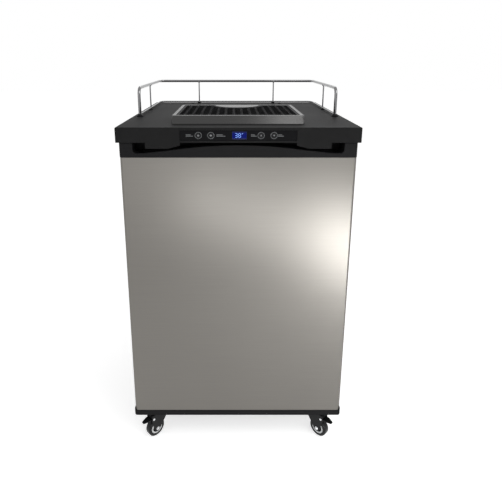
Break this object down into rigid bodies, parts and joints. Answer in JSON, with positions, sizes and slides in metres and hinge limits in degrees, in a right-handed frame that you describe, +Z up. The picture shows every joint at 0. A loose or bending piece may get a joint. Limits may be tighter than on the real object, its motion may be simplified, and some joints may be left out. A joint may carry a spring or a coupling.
{
  "type": "kegerator",
  "caption": "Free-standing keg cooler on castors: steel door, dark worktop with guard rail, honeycomb drip tray, tower hole and button panel, insulated keg space inside.",
  "frame": {"origin": "on the floor, under the middle of the worktop", "axes": "+Z up, front of the cabinet facing -Y, +X to the right seen from the front"},
  "size_m": [0.61, 0.65, 1.0258],
  "materials": {
    "deck_plastic": "dark grey moulded worktop with a fine satin grain",
    "panel_film": "black control film, smooth satin gloss",
    "display_lens": "dark blue display window with lit digits behind it",
    "button_plastic": "black push buttons with pale rings and marks",
    "board": "green circuit board with moulded switches",
    "trim_plastic": "black moulded trim, satin",
    "brushed_steel": "brushed stainless door sheet, fine upright grain",
    "tray_steel": "brushed stainless tray surround",
    "tray_plastic": "black moulded plastic, satin",
    "rail_chrome": "bright chrome plated tube",
    "cabinet_paint": "black textured paint on steel sheet",
    "liner_white": "white moulded liner plastic, soft gloss",
    "keg_floor": "steel reinforcing floor plate for the keg",
    "foam": "hidden rigid insulation foam",
    "zinc_steel": "zinc plated hinge plate",
    "gasket_rubber": "dark grey soft magnetic seal",
    "compressor_paint": "black gloss paint on the compressor shell",
    "foot_rubber": "black rubber",
    "coil_paint": "black painted condenser tube",
    "evaporator": "plain aluminium cold plate",
    "fan_plastic": "black fan rotor",
    "motor_steel": "grey motor can",
    "light_lens": "frosted lamp lens",
    "castor_paint": "black castor forks, pedals and brackets",
    "castor_tyre": "black castor tyre",
    "castor_hub": "light grey moulded wheel hub"
  },
  "bodies": {
    "cabinet": {"worktop": "deck_plastic", "control_panel": "panel_film", "display_window": "display_lens", "control_board": "board", "panel_undercover": "trim_plastic", "tower_hole_cap": "trim_plastic", "tower_sleeve": "liner_white", "guard_rail": "rail_chrome", "cabinet_shell": "cabinet_paint", "cabinet_liner": "liner_white", "cabinet_foam": "foam", "base_pan": "castor_paint", "back_panel": "cabinet_paint", "rear_cover": "cabinet_paint", "gas_line_grommet": "foot_rubber", "power_cord_gland": "foot_rubber", "keg_floor": "keg_floor", "interior_light": "light_lens", "upper_hinge_bracket": "zinc_steel", "lower_hinge_bracket": "castor_paint", "front_castor_bracket": "castor_paint", "castor_plate_front_left": "castor_paint", "castor_plate_front_right": "castor_paint", "castor_plate_rear_left": "castor_paint", "castor_plate_rear_right": "castor_paint", "compressor": "compressor_paint", "condenser_coil": "coil_paint", "evaporator_plate": "evaporator", "fan_shroud": "liner_white", "fan_motor": "motor_steel"},
    "door": {"door_skin": "brushed_steel", "door_foam": "foam", "door_liner": "liner_white", "door_top_trim": "trim_plastic", "door_base_trim": "trim_plastic", "door_gasket": "gasket_rubber"},
    "power_button": {"button_power": "button_plastic"},
    "light_button": {"button_light": "button_plastic"},
    "warmer_button": {"button_warmer": "button_plastic"},
    "colder_button": {"button_colder": "button_plastic"},
    "drip_tray": {"drip_tray_surround": "tray_steel", "drip_pan": "tray_plastic"},
    "grid": {"drip_grid": "tray_plastic"},
    "fan": {"circulation_fan": "fan_plastic"},
    "fork_front_left": {"castor_fork_front_left": "castor_paint"},
    "fork_front_right": {"castor_fork_front_right": "castor_paint"},
    "fork_rear_left": {"castor_fork_rear_left": "castor_paint"},
    "fork_rear_right": {"castor_fork_rear_right": "castor_paint"},
    "wheel_front_left": {"castor_tyre_front_left": "castor_tyre", "castor_hub_front_left": "castor_hub"},
    "wheel_front_right": {"castor_tyre_front_right": "castor_tyre", "castor_hub_front_right": "castor_hub"},
    "wheel_rear_left": {"castor_tyre_rear_left": "castor_tyre", "castor_hub_rear_left": "castor_hub"},
    "wheel_rear_right": {"castor_tyre_rear_right": "castor_tyre", "castor_hub_rear_right": "castor_hub"},
    "pedal_front_left": {"brake_pedal_front_left": "castor_paint"},
    "pedal_front_right": {"brake_pedal_front_right": "castor_paint"}
  },
  "joints": [
    {"name": "door_hinge", "type": "hinge", "parent": "cabinet", "child": "door", "pos_m": [0.285, -0.294, 0.5], "axis": [0, 0, 1], "range_deg": [0, 120]},
    {"name": "power_press", "type": "slide", "parent": "cabinet", "child": "power_button", "axis": [0, 1, 0], "range_m": [0, 0.0012], "stiffness_N_per_m": 600},
    {"name": "light_press", "type": "slide", "parent": "cabinet", "child": "light_button", "axis": [0, 1, 0], "range_m": [0, 0.0012], "stiffness_N_per_m": 600},
    {"name": "warmer_press", "type": "slide", "parent": "cabinet", "child": "warmer_button", "axis": [0, 1, 0], "range_m": [0, 0.0012], "stiffness_N_per_m": 600},
    {"name": "colder_press", "type": "slide", "parent": "cabinet", "child": "colder_button", "axis": [0, 1, 0], "range_m": [0, 0.0012], "stiffness_N_per_m": 600},
    {"name": "tray_lift", "type": "slide", "parent": "cabinet", "child": "drip_tray", "axis": [0, 0, 1], "range_m": [0, 0.05]},
    {"name": "grid_lift", "type": "slide", "parent": "drip_tray", "child": "grid", "axis": [0, 0, 1], "range_m": [0, 0.04]},
    {"name": "fan_spin", "type": "hinge", "parent": "cabinet", "child": "fan", "pos_m": [0, 0.226, 0.725], "axis": [0, 1, 0], "continuous": true},
    {"name": "swivel_front_left", "type": "hinge", "parent": "cabinet", "child": "fork_front_left", "pos_m": [-0.231, -0.273, 0.08], "axis": [0, 0, 1], "continuous": true},
    {"name": "swivel_front_right", "type": "hinge", "parent": "cabinet", "child": "fork_front_right", "pos_m": [0.231, -0.273, 0.08], "axis": [0, 0, 1], "continuous": true},
    {"name": "swivel_rear_left", "type": "hinge", "parent": "cabinet", "child": "fork_rear_left", "pos_m": [-0.231, 0.27, 0.08], "axis": [0, 0, 1], "continuous": true},
    {"name": "swivel_rear_right", "type": "hinge", "parent": "cabinet", "child": "fork_rear_right", "pos_m": [0.231, 0.27, 0.08], "axis": [0, 0, 1], "continuous": true},
    {"name": "roll_front_left", "type": "hinge", "parent": "fork_front_left", "child": "wheel_front_left", "pos_m": [-0.24797, -0.28997, 0.0275], "axis": [0.7071, -0.7071, 0], "continuous": true},
    {"name": "roll_front_right", "type": "hinge", "parent": "fork_front_right", "child": "wheel_front_right", "pos_m": [0.24797, -0.28997, 0.0275], "axis": [0.7071, 0.7071, 0], "continuous": true},
    {"name": "roll_rear_left", "type": "hinge", "parent": "fork_rear_left", "child": "wheel_rear_left", "pos_m": [-0.231, 0.294, 0.0275], "axis": [-1, 0, 0], "continuous": true},
    {"name": "roll_rear_right", "type": "hinge", "parent": "fork_rear_right", "child": "wheel_rear_right", "pos_m": [0.231, 0.294, 0.0275], "axis": [-1, 0, 0], "continuous": true},
    {"name": "pedal_hinge_front_left", "type": "hinge", "parent": "fork_front_left", "child": "pedal_front_left", "pos_m": [-0.25646, -0.29846, 0.066], "axis": [0.7071, -0.7071, 0], "range_deg": [0, 18]},
    {"name": "pedal_hinge_front_right", "type": "hinge", "parent": "fork_front_right", "child": "pedal_front_right", "pos_m": [0.25646, -0.29846, 0.066], "axis": [0.7071, 0.7071, 0], "range_deg": [0, 18]}
  ]
}
